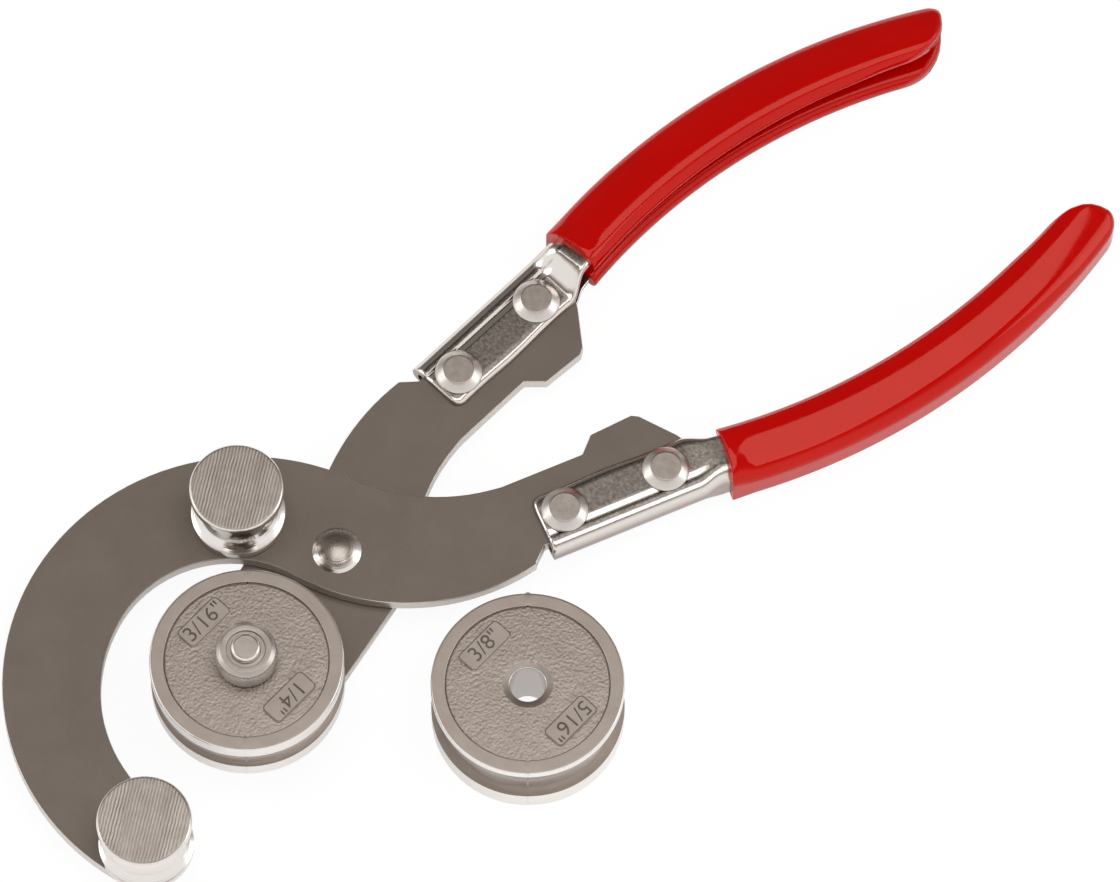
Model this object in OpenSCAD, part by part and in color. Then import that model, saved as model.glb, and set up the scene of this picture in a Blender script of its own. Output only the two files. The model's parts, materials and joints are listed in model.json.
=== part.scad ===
// Plier-type tube bender: a hook plate with two grooved rollers, a die plate that carries a
// round forming disc on a stud, and a spare disc that lies beside the tool.
// The tool lies flat on a table at Z = 0, and the pivot axis is the Z axis.
// Along an arm, x runs from the pivot down the shank, and y runs towards the other arm.

/* [Arms] */
// Direction of the hook arm's shank in the XY plane, in degrees
hook_deg = 23.6; // [18:0.1:28]
// Angle between the two shanks as the tool lies, in degrees
spread_deg = 21.4; // [17:0.1:26]
// Thickness of the hook plate and of the die plate
plate_t = 3; // [2.4:0.1:4]
// Running gap between the two plates
plate_gap = 0.2; // [0.1:0.05:0.4]
// How far the shank's inner edge lies back from the pivot's centre line
edge_back = 0.5; // [0:0.1:2]
// Distance from the pivot at which the shank's inner edge becomes straight
neck_x = 38; // [34:0.5:42]
// Distance from the pivot at which the wide neck ends and the handle begins
shoulder_x = 35; // [33:0.5:37]
// Distance from the pivot to the end of the shank inside the handle
shank_end = 72.5; // [71:0.5:75]
// Drop of the shank's sloping end below its inner edge
end_drop = 5.4; // [4:0.1:7]
// Step from the shank's hidden edge out to the neck's shoulder
shoulder_h = 1.3; // [0.8:0.1:3.4]
// Height of the lug above the shank's inner edge
lug_h = 3.2; // [1:0.1:4]
// Length of the lug along the top
lug_len = 9; // [6:0.5:12]
// Distance from the pivot to the start of the lug
lug_x = 52.6; // [48:0.2:55]

/* [Hook jaw] */
// Centre of the jaw's outer arc behind the pivot
jaw_back = 17.8; // [15:0.1:20]
// Centre of the jaw's outer arc below the pivot
jaw_down = 27.5; // [25:0.1:30]
// Radius of the jaw's outer arc
jaw_r = 47.7; // [46:0.1:50]
// Direction of the jaw's tip from the centre of that arc, in degrees
jaw_tip_deg = 241.6; // [232:0.2:248]
// Radius of the jaw's rounded tip
tip_r = 8.3; // [7:0.1:9]
// Radius of the jaw's inner arc near the tip
tail_r = 31; // [29:0.1:33]
// Direction of that arc's centre from the tip, in degrees
tail_deg = 56.9; // [54:0.1:59]
// Radius of the throat, the jaw's inner arc near the pivot
throat_r = 24.4; // [22:0.1:26]
// Direction in which the throat meets the arc near the tip, in degrees
throat_deg = 152; // [148:0.5:158]
// Radius of the hook neck's lower edge
belly_r = 44; // [38:0.5:52]
// Direction in which the throat runs into that edge, in degrees
belly_deg = 59.5; // [57:0.1:62]

/* [Die plate] */
// Distance from the pivot to the stud
stud_reach = 33.1; // [31:0.1:35]
// Angle between the nose and the shank's line, in degrees
nose_deg = 13.9; // [9:0.1:19]
// Half width of the nose round the stud
nose_r = 14.5; // [12:0.1:16]
// Half width of the plate round the pivot
hub_r = 15.3; // [13:0.1:16]
// Radius of the die neck's outer edge
back_r = 50; // [44:0.5:60]
// Distance from the pivot to that edge's widest place
back_x = 31; // [28:0.5:34]

/* [Handles] */
// Thickness of the handle's sheet
sheet_t = 1.5; // [1.2:0.1:1.8]
// Width of the folded handle on the shank
fold_w = 12.8; // [11.5:0.1:13.5]
// How far the folded handle's inner edge lies back from the pivot's centre line
fold_back = 5.5; // [5:0.1:6.5]
// Gap between the folded handle and the neck's shoulder
fold_gap = 1; // [0.6:0.1:2]
// Width of the channel inside the grip
channel_w = 9.8; // [8.5:0.1:11]
// Height of the channel inside the grip
channel_h = 10; // [9:0.1:11.5]
// Outer corner radius of the channel
channel_r = 3.2; // [2.4:0.1:4]
// Length over which the fold opens to the channel
flare_len = 5.5; // [3:0.1:7]
// Radius of the channel's curve at its middle
curve_r = 133.4; // [126:0.2:146]
// Angle by which the curve starts outwards, in degrees
curve_out_deg = 8; // [6:0.1:10]
// Angle by which the die handle's curve ends inwards, in degrees
curve_in_deg = 30; // [26:0.2:32]
// Angle by which the hook handle's curve runs on past that, in degrees
hook_more_deg = 2.4; // [0:0.1:4]
// Step outwards from the fold's middle to the curve's middle
curve_step = 0.7; // [0.4:0.1:1.8]
// Thickness of the dipped coat
coat_t = 1.4; // [1:0.1:1.7]
// Slack between coat and channel
coat_gap = 0.05; // [0.02:0.01:0.1]
// Distance from the curve's start to the grip's edge
coat_start = 1.2; // [1.2:0.1:3]
// Length of solid coat past the channel's end
coat_end = 2.4; // [1.6:0.1:4]
// Corner radius of the grip's end on the outer side
grip_outer_r = 3.4; // [2:0.1:5]
// Corner radius of the grip's end on the inner side
grip_inner_r = 6; // [4:0.1:7]

/* [Handle rivets] */
// Distance from the pivot to the front rivet, along the shank
rivet_x = 44.4; // [44:0.1:46]
// Distance between the two rivets of one handle
rivet_pitch = 21.8; // [19:0.1:22]
// How far the rivets lie back from the pivot's centre line
rivet_back = 10.65; // [10.4:0.05:11.2]
// Shank radius of a rivet
rivet_r = 2.5; // [2:0.1:2.8]
// Head radius of a rivet at its base
rivet_head_r = 4.75; // [4:0.05:4.9]
// Radius of the flat on a rivet's head
rivet_flat_r = 3; // [2:0.1:3.6]
// Height of a rivet's head
rivet_head_h = 1.7; // [1.2:0.1:2]
// Radius of a rivet's flattened tail
rivet_tail_r = 4.2; // [3.4:0.1:4.6]
// Height of a rivet's flattened tail
rivet_tail_h = 1.1; // [0.8:0.1:1.4]
// Slack round a rivet in its holes
rivet_gap = 0.03; // [0.01:0.01:0.08]

/* [Pivot] */
// Shank radius of the pivot rivet
pivot_r = 3.5; // [3:0.1:4.5]
// Head radius of the pivot rivet
pivot_head_r = 4.85; // [4.7:0.05:6]
// Height of the pivot rivet's domed head
pivot_head_h = 1.8; // [1.2:0.1:2.4]
// Radius of the pivot rivet's flat tail
pivot_tail_r = 5.4; // [5:0.1:6.5]
// Outer radius of the washer over that tail
washer_r = 7; // [6.6:0.1:8]
// Thickness of that washer
washer_t = 1.2; // [0.8:0.1:1.5]
// Radial running clearance of the pivot, the pins and the stud
run_gap = 0.06; // [0.03:0.01:0.1]
// Axial play of each part that turns
play = 0.1; // [0.05:0.01:0.2]

/* [Rollers] */
// Radius of a roller's flanges
roller_r = 9.3; // [8.4:0.1:10]
// Width of a roller's groove
roller_groove = 10.4; // [8.6:0.1:11]
// Depth of a roller's groove
roller_depth = 3; // [2:0.1:3.6]
// Thickness of a roller's flanges
roller_lip = 1.9; // [1.4:0.1:2.6]
// Chamfer on the rim of a roller
roller_bevel = 0.7; // [0.3:0.1:1]
// Distance of the upper roller from the jaw's outer arc
upper_inset = 12.6; // [11.5:0.1:14]
// Direction of the upper roller from the centre of that arc, in degrees
upper_deg = 92.8; // [88:0.1:96]
// Radius of the pin that holds a roller
pin_r = 3; // [2.4:0.1:3.6]
// Radius of the pin's countersunk end
pin_sink_r = 4.6; // [4:0.1:5]
// Depth of the pin in the roller
pin_grip = 9; // [7:0.1:11]

/* [Forming discs] */
// Radius of both discs
disc_r = 19; // [17.5:0.1:20]
// Radius of the mounted disc's groove
small_groove_r = 2.7; // [2.2:0.1:3.2]
// Radius of the spare disc's groove
large_groove_r = 5.2; // [4.6:0.1:5.6]
// Thickness of the mounted disc's flange above the groove
top_flange = 3.5; // [2:0.1:4]
// Thickness of the mounted disc's flange below the groove
low_flange = 4.1; // [3.6:0.1:5.4]
// Thickness of the spare disc's flange above the groove
spare_top_flange = 1.9; // [1.4:0.1:3]
// Thickness of the spare disc's flange below the groove
spare_low_flange = 5.2; // [3.6:0.1:5.6]
// Width of the plain rim on a disc's face
rim_w = 2.2; // [1.4:0.1:3.4]
// Depth of the grained field inside the rim
field_depth = 0.4; // [0.2:0.05:0.7]
// Bore radius of both discs
bore_r = 3.5; // [3.3:0.05:3.9]
// Chamfer at the mouths of the bore
bore_bevel = 1.2; // [0.6:0.1:1.5]
// Length of a size plate on a disc's face
tag_len = 9.6; // [8:0.1:11]
// Width of a size plate
tag_w = 4.8; // [4:0.1:5.4]
// Distance of a size plate from the disc's centre
tag_out = 10.9; // [10.2:0.1:11.6]
// Direction of the upper size plate, in degrees
tag_deg = 131; // [120:1:140]
// Place of the spare disc, to the right of the pivot
spare_x = 37.7; // [36:0.1:48]
// Place of the spare disc, in front of the pivot
spare_y = -31.2; // [-42:0.1:-30]

/* [Stud and nut] */
// Radius of the stud's head under the die plate
stud_head_r = 6.5; // [5.5:0.1:8]
// Radius of the stud where it is fixed in the die plate
stud_fix_r = 4; // [3.5:0.1:5]
// Radius of the stud's collar under the disc
collar_r = 7; // [6:0.1:9]
// Clearance between the hook plate's face and the disc
disc_lift = 0.4; // [0.3:0.05:0.8]
// Radius of the stud's threaded end
thread_r = 2.9; // [2.4:0.05:3.1]
// Length of the stud past the nut
thread_out = 1.2; // [0.6:0.1:2]
// Radius of the knurled nut
nut_r = 6.15; // [5.2:0.05:6.8]
// Height of the knurled nut
nut_h = 5.5; // [4:0.1:7]
// Chamfer round the top of the nut
nut_bevel = 0.9; // [0.4:0.1:1.2]
// Number of teeth in the knurl
nut_teeth = 44; // [30:2:60]
// Depth of the knurl
nut_knurl = 0.3; // [0.15:0.05:0.4]

/* [Hidden] */
$fn = 96;
eps = 0.01;
// Overlap where one arc runs into another
blend = 0.03;

function polar(r, a) = [r * cos(a), r * sin(a)];
function turned(p, a) = [p.x * cos(a) - p.y * sin(a), p.x * sin(a) + p.y * cos(a)];
function dot2(p, q) = p.x * q.x + p.y * q.y;

// Heights: both grips lie on the table, and the plates meet at the grips' mid height
grip_h = channel_h + 2 * coat_t;
mid_z = grip_h / 2;
die_z = mid_z - plate_gap / 2 - plate_t;
hook_z = mid_z + plate_gap / 2;
hook_top = hook_z + plate_t;
die_top = die_z + plate_t;

// Shank and handle, along one arm
die_deg = hook_deg + spread_deg;
fold_x = shoulder_x + 3 + fold_gap;
fold_h = plate_t + 2 * sheet_t;
web_y = -fold_back - fold_w;
shank_y = web_y + sheet_t;
fold_r = fold_h / 2 - 0.1;
// The shank's hidden edge keeps clear of the rounds inside the fold and inside the channel
fold_in_r = fold_r - sheet_t;
channel_in_r = max(channel_r - sheet_t, 0.3);
flare_x = rivet_x + rivet_pitch + rivet_head_r + 0.2;
curve_x = flare_x + flare_len;
curve_mid = web_y + fold_w / 2 - curve_step;
curve_c = [curve_x + curve_r * sin(curve_out_deg), curve_mid + curve_r * cos(curve_out_deg)];
coat_deg = coat_end / curve_r * 180 / PI;
start_deg = coat_start / curve_r * 180 / PI;

// Hook jaw
jaw_c = [-jaw_back, -jaw_down];
lower_c = jaw_c + polar(jaw_r - tip_r, jaw_tip_deg);
upper_c = jaw_c + polar(jaw_r - upper_inset, upper_deg);
tail_c = lower_c + polar(tail_r + tip_r, tail_deg);
throat_c = tail_c + polar(tail_r - throat_r + blend, throat_deg);
belly_c = throat_c + polar(throat_r + belly_r - blend, belly_deg);
// The neck's inner arc touches the straight shank edge and the jaw's outer arc
neck_from = turned([neck_x, -edge_back], hook_deg) - jaw_c;
neck_up = polar(1, hook_deg + 90);
neck_r = (dot2(neck_from, neck_from) - jaw_r * jaw_r) / (2 * (jaw_r - dot2(neck_up, neck_from)));
// Past the jaw and the handles
far = 4 * jaw_r;

// Disc, stud and nut
stud_c = polar(stud_reach, die_deg + 180 + nose_deg);
disc_z = hook_top + disc_lift;
disc_h = low_flange + 2 * small_groove_r + top_flange;
collar_z = disc_z - play;
nut_z = disc_z + disc_h + play;
stud_top = nut_z + nut_h + thread_out;

// Rollers
roller_z = hook_top + play;
roller_h = roller_groove + 2 * roller_lip;
sink_h = pin_sink_r - pin_r;

// Places a piece on the hook arm or on the die arm, which is its mirror image
module on_hook() {
    rotate(hook_deg) children();
}
module on_die() {
    rotate(die_deg) mirror([0, 1, 0]) children();
}

// Flat outline of the shank and its lug
module shank_2d() {
    polygon([
        [shoulder_x - lug_h, -edge_back],
        [lug_x, -edge_back],
        [lug_x + lug_h, lug_h - edge_back],
        [lug_x + lug_h + lug_len, lug_h - edge_back + 0.6],
        [lug_x + lug_h + lug_len + 1.4, lug_h - edge_back - 0.2],
        [shank_end - lug_h / 3, -edge_back - end_drop * 2 / 3],
        [shank_end, -edge_back - end_drop],
        [shank_end, shank_y + fold_in_r],
        [shoulder_x + 3, shank_y + fold_in_r],
        [shoulder_x, shank_y - shoulder_h],
        [shoulder_x - lug_h, shank_y - shoulder_h]
    ]);
}

// The round hollow between the neck and the other arm
module neck_arc_2d() {
    translate([neck_x, neck_r - edge_back]) circle(neck_r + blend);
}

// Flat outline of the neck, inside a round outer edge
module neck_2d(edge_c, edge_r, back) {
    difference() {
        intersection() {
            polygon([[-back, hub_r - blend], [shoulder_x, hub_r - blend], [shoulder_x, -far], [-back, -far]]);
            translate(edge_c) circle(edge_r);
        }
        neck_arc_2d();
    }
}

// Holes for the two handle rivets
module rivet_holes() {
    for (x = [rivet_x, rivet_x + rivet_pitch])
        translate([x, -rivet_back, -1]) cylinder(r = rivet_r + rivet_gap, h = grip_h + 2);
}

// Everything in front of the jaw's opening
module mouth_2d() {
    tip_out = lower_c + polar(far, jaw_tip_deg);
    difference() {
        polygon([throat_c, belly_c, [far, belly_c.y], [far, -far], tip_out, lower_c]);
        translate(belly_c) circle(belly_r);
    }
}

module jaw_2d() {
    difference() {
        translate(jaw_c) circle(jaw_r);
        translate(throat_c) circle(throat_r);
        intersection() {
            translate(tail_c) circle(tail_r);
            polygon([tail_c, tail_c + polar(2 * tail_r, throat_deg), [-far, -far], [far, -far]]);
        }
        mouth_2d();
        rotate(hook_deg) neck_arc_2d();
    }
}

module hook_plate() {
    color("#6f675f") difference() {
        translate([0, 0, hook_z]) {
            linear_extrude(plate_t) jaw_2d();
            translate(lower_c) cylinder(r = tip_r - blend, h = plate_t);
            on_hook() linear_extrude(plate_t) neck_2d(turned(belly_c, -hook_deg), belly_r - blend, 6);
            on_hook() linear_extrude(plate_t) shank_2d();
        }
        translate([0, 0, hook_z - 1]) cylinder(r = pivot_r + rivet_gap, h = plate_t + 2);
        on_hook() rivet_holes();
        for (c = [upper_c, lower_c]) {
            translate([c.x, c.y, hook_z - 1]) cylinder(r = pin_r + run_gap, h = plate_t + 2);
            translate([c.x, c.y, hook_z - eps])
                cylinder(r1 = pin_sink_r + run_gap + eps, r2 = pin_r + run_gap, h = sink_h + eps);
        }
    }
}

// Straight sides of the nose, which run into the round ends at the pivot and at the stud
module nose_2d(c) {
    a = atan2(c.y, c.x);
    lean = acos((hub_r - nose_r) / norm(c));
    polygon([polar(hub_r - blend, a + lean), c + polar(nose_r - blend, a + lean),
             c + polar(nose_r - blend, a - lean), polar(hub_r - blend, a - lean)]);
}

module die_plate() {
    nose = polar(stud_reach, 180 - nose_deg);
    back_c = [back_x, back_r + shank_y - shoulder_h - 0.2];
    color("#6f675f") difference() {
        on_die() difference() {
            translate([0, 0, die_z]) {
                cylinder(r = hub_r, h = plate_t);
                translate(nose) cylinder(r = nose_r, h = plate_t);
                linear_extrude(plate_t) nose_2d(nose);
                linear_extrude(plate_t) neck_2d(back_c, back_r, 0);
                linear_extrude(plate_t) shank_2d();
            }
            rivet_holes();
        }
        translate([0, 0, die_z - 1]) cylinder(r = pivot_r + run_gap, h = plate_t + 2);
        translate([stud_c.x, stud_c.y, die_z - 1]) cylinder(r = stud_fix_r + rivet_gap, h = plate_t + 2);
    }
}

// Solid outline of a channel, with its web at x = 0 and round outer corners
module block_2d(w, h, r) {
    translate([r, 0]) square([w - r, h]);
    translate([0, r]) square([2 * r, h - 2 * r]);
    for (z = [r, h - r]) translate([r, z]) circle(r);
}

// Section of a channel: web, two flanges and the space between them
module channel_2d(w, h, t, r) {
    difference() {
        block_2d(w, h, r);
        translate([t, t]) block_2d(w, h - 2 * t, max(r - t, 0.3));
    }
}

// Stands a section across the arm, with its web on the outside
module across(x, y, turn) {
    translate([x, y, 0]) rotate(turn) rotate([90, 0, 90]) children();
}

// Sweeps a section along the handle's curve
module along_curve(turn, skip = 0) {
    translate([curve_c.x, curve_c.y, 0]) rotate(skip - 90 - curve_out_deg)
        rotate_extrude(angle = turn - skip) translate([curve_r + channel_w / 2, 0]) mirror([1, 0]) children();
}

// Solid between the fold's outline and the channel's outline, drawn in from both by the inset
module flare(low, inset, past, reach) {
    fold_low = low - sheet_t + inset;
    fold_top = low + plate_t + sheet_t - inset;
    chan_low = coat_t + inset;
    chan_top = coat_t + channel_h - inset;
    chan_web = curve_mid - channel_w / 2;
    intersection() {
        rotate([90, 0, 0]) linear_extrude(far, center = true) polygon([
            [flare_x - past, fold_low], [flare_x, fold_low], [curve_x, chan_low], [curve_x + past, chan_low],
            [curve_x + past, chan_top], [curve_x, chan_top], [flare_x, fold_top], [flare_x - past, fold_top]
        ]);
        linear_extrude(grip_h) polygon([
            [flare_x - past, web_y + inset], [flare_x, web_y + inset], [curve_x + past, chan_web + inset],
            [curve_x + past, chan_web + channel_w + reach], [flare_x, -fold_back + reach],
            [flare_x - past, -fold_back + reach]
        ]);
    }
}

// Folded sheet handle on a shank whose lower face is at the height low, curved to the angle end
module handle_channel(low, end) {
    color("#bdb7b0") difference() {
        union() {
            across(fold_x, web_y, 0) linear_extrude(flare_x - fold_x) translate([0, low - sheet_t])
                channel_2d(fold_w, fold_h, sheet_t, fold_r);
            difference() {
                flare(low, 0, 0.5, 0);
                flare(low, sheet_t, 1, fold_w);
            }
            along_curve(curve_out_deg + end) translate([0, coat_t])
                channel_2d(channel_w, channel_h, sheet_t, channel_r);
        }
        rivet_holes();
    }
}

module hook_channel() {
    on_hook() handle_channel(hook_z, curve_in_deg + hook_more_deg);
}

module die_channel() {
    on_die() handle_channel(die_z, curve_in_deg);
}

// Section of the dipped coat, round the web and round both flanges
module coat_2d() {
    flange_h = sheet_t + 2 * coat_t;
    end_r = flange_h / 2 - 0.02;
    difference() {
        union() {
            translate([-coat_t, 0]) block_2d(channel_w + 2 * coat_t - end_r, grip_h, channel_r + coat_t);
            for (z = [end_r, grip_h - end_r])
                translate([channel_w + coat_t - end_r, z]) circle(end_r);
        }
        translate([sheet_t + coat_t, flange_h]) square([channel_w + 2 * coat_t, grip_h - 2 * flange_h]);
    }
}

// The space that the channel takes in the coat
module core_2d() {
    difference() {
        translate([-coat_gap, coat_t - coat_gap])
            block_2d(channel_w + 2 * coat_gap, channel_h + 2 * coat_gap, channel_r + coat_gap);
        translate([sheet_t + coat_gap, coat_t + sheet_t + coat_gap])
            block_2d(channel_w + 2, channel_h - 2 * sheet_t - 2 * coat_gap, channel_in_r - coat_gap);
    }
}

// Seen from above, one corner of the grip's end that the round takes off
module end_corner(r, side, end) {
    edge = side > 0 ? curve_r + channel_w / 2 + coat_t - r : curve_r - channel_w / 2 - coat_t + r;
    a = -90 + end + coat_deg - r / edge * 180 / PI;
    translate([curve_c.x, curve_c.y, -1]) rotate(a) translate([edge, 0, 0]) difference() {
        translate([side > 0 ? 0 : -r - 2, 0, 0]) cube([r + 2, r + 3, grip_h + 2]);
        translate([0, 0, -1]) cylinder(r = r, h = grip_h + 4);
    }
}

module handle_grip(end) {
    color("#c4090b") difference() {
        along_curve(curve_out_deg + end + coat_deg, start_deg) coat_2d();
        along_curve(curve_out_deg + end) core_2d();
        end_corner(grip_outer_r, 1, end);
        end_corner(grip_inner_r, -1, end);
    }
}

module hook_grip() {
    on_hook() handle_grip(curve_in_deg + hook_more_deg);
}

module die_grip() {
    on_die() handle_grip(curve_in_deg);
}

// Handle rivet at a distance x, through a fold that starts at the height low
module handle_rivet(x, low) {
    color("#b3ada6") translate([x, -rivet_back, low - sheet_t]) {
        translate([0, 0, -rivet_tail_h]) cylinder(r = rivet_tail_r, h = rivet_tail_h);
        translate([0, 0, -eps]) cylinder(r = rivet_r, h = fold_h + 2 * eps);
        translate([0, 0, fold_h]) cylinder(r = rivet_head_r, h = 0.3);
        translate([0, 0, fold_h + 0.3])
            cylinder(r1 = rivet_head_r, r2 = rivet_flat_r, h = rivet_head_h - 0.3);
    }
}

module hook_rivet_front() {
    on_hook() handle_rivet(rivet_x, hook_z);
}

module hook_rivet_rear() {
    on_hook() handle_rivet(rivet_x + rivet_pitch, hook_z);
}

module die_rivet_front() {
    on_die() handle_rivet(rivet_x, die_z);
}

module die_rivet_rear() {
    on_die() handle_rivet(rivet_x + rivet_pitch, die_z);
}

// The tail stands on the table and the domed head lies on the hook plate
module pivot_rivet() {
    dome_r = (pivot_head_r * pivot_head_r + pivot_head_h * pivot_head_h) / (2 * pivot_head_h);
    tail_h = die_z - washer_t - 2 * play;
    color("#b9b3ac") {
        cylinder(r = pivot_tail_r, h = tail_h);
        cylinder(r = pivot_r, h = hook_top + eps);
        intersection() {
            translate([0, 0, hook_top + pivot_head_h - dome_r]) sphere(dome_r);
            translate([0, 0, hook_top]) cylinder(r = pivot_head_r, h = pivot_head_h + 1);
        }
    }
}

module pivot_washer() {
    color("#a49e97") translate([0, 0, die_z - play - washer_t]) difference() {
        cylinder(r = washer_r, h = washer_t);
        translate([0, 0, -1]) cylinder(r = pivot_r + run_gap, h = washer_t + 2);
    }
}

// Grooved roller with a blind bore for its pin
module roller() {
    groove_r = (roller_groove * roller_groove / 4 + roller_depth * roller_depth) / (2 * roller_depth);
    color("#b7b1aa") difference() {
        rotate_extrude() difference() {
            polygon([[0, 0], [roller_r - 0.3, 0], [roller_r, 0.3], [roller_r, roller_h - roller_bevel],
                     [roller_r - roller_bevel, roller_h], [0, roller_h]]);
            translate([roller_r - roller_depth + groove_r, roller_h / 2]) circle(groove_r);
        }
        translate([0, 0, -1]) cylinder(r = pin_r + rivet_gap, h = pin_grip + rivet_gap + 1);
    }
}

// Pin with a countersunk end, flush with the hook plate's lower face
module roller_pin() {
    color("#9d978f") {
        translate([0, 0, hook_z + play]) cylinder(r1 = pin_sink_r - play, r2 = pin_r, h = sink_h - play);
        translate([0, 0, hook_z + play]) cylinder(r = pin_r, h = plate_t + pin_grip);
    }
}

module upper_roller() {
    translate([upper_c.x, upper_c.y, roller_z]) roller();
}

module upper_roller_pin() {
    translate([upper_c.x, upper_c.y, 0]) roller_pin();
}

module lower_roller() {
    translate([lower_c.x, lower_c.y, roller_z]) roller();
}

module lower_roller_pin() {
    translate([lower_c.x, lower_c.y, 0]) roller_pin();
}

// Stud fixed in the die plate: head, collar, journal for the disc and threaded end for the nut
module disc_stud() {
    color("#8f8982") translate([stud_c.x, stud_c.y, 0]) {
        cylinder(r = stud_head_r, h = die_z);
        cylinder(r = stud_fix_r, h = die_top + eps);
        translate([0, 0, die_top]) cylinder(r = collar_r, h = collar_z - die_top);
        translate([0, 0, die_top]) cylinder(r = bore_r - run_gap, h = nut_z - play / 2 - die_top);
        cylinder(r = thread_r, h = stud_top - 0.5);
        translate([0, 0, stud_top - 0.5]) cylinder(r1 = thread_r, r2 = thread_r - 0.5, h = 0.5);
    }
}

// Forming disc with a round groove, a recessed field in its face and two size plates
module disc(groove_r, low, top) {
    h = low + 2 * groove_r + top;
    rotate_extrude() difference() {
        polygon([
            [bore_r + bore_bevel, 0],
            [disc_r, 0],
            [disc_r, h],
            [disc_r - rim_w, h],
            [disc_r - rim_w, h - field_depth],
            [bore_r + bore_bevel, h - field_depth],
            [bore_r, h - field_depth - bore_bevel],
            [bore_r, bore_bevel]
        ]);
        translate([disc_r, low + groove_r]) circle(groove_r);
    }
    for (side = [0, 180])
        rotate(side) translate([tag_out * cos(tag_deg), tag_out * sin(tag_deg), h - field_depth - eps])
            rotate(tag_deg - 90) translate([-tag_len / 2, -tag_w / 2, 0])
                cube([tag_len, tag_w, field_depth + eps]);
}

module forming_disc() {
    color("#a0968d") translate([stud_c.x, stud_c.y, disc_z]) disc(small_groove_r, low_flange, top_flange);
}

module spare_disc() {
    color("#a0968d") translate([spare_x, spare_y, 0]) disc(large_groove_r, spare_low_flange, spare_top_flange);
}

// Knurled nut with a chamfered top and a shallow recess round the thread
module disc_nut() {
    step = 360 / nut_teeth;
    chamfer_r = nut_r - nut_bevel;
    points = [for (i = [0 : 2 * nut_teeth - 1])
        polar(i % 2 == 0 ? nut_r : nut_r - nut_knurl, i * step / 2)];
    color("#aaa49c") translate([stud_c.x, stud_c.y, nut_z]) difference() {
        intersection() {
            linear_extrude(nut_h) polygon(points);
            translate([0, 0, -1])
                cylinder(r1 = chamfer_r + nut_h + 1, r2 = chamfer_r - 1, h = nut_h + 2);
        }
        translate([0, 0, -1]) cylinder(r = thread_r + rivet_gap, h = nut_h + 2);
        translate([0, 0, nut_h - 0.6]) cylinder(r = thread_r + 0.9, h = 1);
    }
}

hook_plate();
hook_channel();
hook_grip();
hook_rivet_front();
hook_rivet_rear();
die_plate();
die_channel();
die_grip();
die_rivet_front();
die_rivet_rear();
pivot_rivet();
pivot_washer();
upper_roller();
upper_roller_pin();
lower_roller();
lower_roller_pin();
disc_stud();
forming_disc();
disc_nut();
spare_disc();
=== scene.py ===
"""Plier-type tube bender with a loose forming disc, dressed for a picture on white.

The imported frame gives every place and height. This script adds the formed, cast and dipped
surfaces, the finishes, the white stage and the camera. Lengths are in millimetres and become
metres where a mesh is made.
"""
import json
import math

import bmesh
import bpy
from mathutils import Matrix, Vector

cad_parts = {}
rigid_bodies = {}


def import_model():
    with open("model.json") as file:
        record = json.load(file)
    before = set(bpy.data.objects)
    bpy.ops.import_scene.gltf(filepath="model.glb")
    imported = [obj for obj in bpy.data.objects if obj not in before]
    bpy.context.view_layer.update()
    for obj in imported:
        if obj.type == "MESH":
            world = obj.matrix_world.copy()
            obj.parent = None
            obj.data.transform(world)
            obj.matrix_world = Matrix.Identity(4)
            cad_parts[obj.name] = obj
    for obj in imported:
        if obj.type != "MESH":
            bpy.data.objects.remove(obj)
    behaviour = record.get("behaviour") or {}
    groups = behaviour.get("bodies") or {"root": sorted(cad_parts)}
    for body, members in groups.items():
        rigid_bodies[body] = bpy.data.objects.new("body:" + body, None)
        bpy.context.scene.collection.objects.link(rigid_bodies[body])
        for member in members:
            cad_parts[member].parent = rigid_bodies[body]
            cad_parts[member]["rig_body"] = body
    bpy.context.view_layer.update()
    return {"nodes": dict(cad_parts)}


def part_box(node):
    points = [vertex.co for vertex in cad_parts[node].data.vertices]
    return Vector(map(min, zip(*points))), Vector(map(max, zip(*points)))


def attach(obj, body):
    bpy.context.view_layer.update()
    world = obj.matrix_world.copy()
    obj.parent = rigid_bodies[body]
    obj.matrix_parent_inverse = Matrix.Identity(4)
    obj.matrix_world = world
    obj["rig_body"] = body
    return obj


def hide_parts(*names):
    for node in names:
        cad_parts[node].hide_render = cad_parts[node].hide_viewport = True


MM = 0.001
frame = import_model()

# Arms: x runs from the pivot down the shank, y runs towards the other arm
HOOK_DEG = 23.6
DIE_DEG = 45.0
PLATE_T = 3.0
FOLD_X = 39.0
FLARE_X = 71.15
CURVE_X = 76.65
WEB_Y = -18.3
FOLD_W = 12.8
FOLD_H = 6.0
FOLD_R = 2.9
SHEET_T = 1.5
CHANNEL_W = 9.8
CHANNEL_H = 10.0
CHANNEL_R = 3.2
CURVE_R = 133.4
CURVE_OUT_DEG = 8.0
HOOK_CURVE_IN_DEG = 32.4
DIE_CURVE_IN_DEG = 30.0
CURVE_MID_Y = -12.6
CURVE_C = Vector((CURVE_X + CURVE_R * math.sin(math.radians(CURVE_OUT_DEG)),
                  CURVE_MID_Y + CURVE_R * math.cos(math.radians(CURVE_OUT_DEG))))
RIVET_XS = (44.4, 66.2)
RIVET_EDGE_R = 0.35

# A pressed crease runs beside the bend: a long slope from the flat and a short steep flank.
# The open edge rolls in, and bows out between the rivets.
CREASE_X = 3.8
CREASE_DEPTH = 0.38
CREASE_SLOPE = 1.6
CREASE_FLANK = 0.5
EDGE_BOW = 0.3
EDGE_ROLL = 0.45
EDGE_ROLL_W = 2.3
EDGE_R = 1.0
BURR_R = 0.3
END_ROUND = 2.2
END_R = 0.8

# Sections along the sheet: steps on the fold and the flare, and depths inside the grip
FOLD_STEPS = 64
FLARE_STEPS = 10
SHEET_IN_GRIP = (1.0, 2.5, 4.0)

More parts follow.
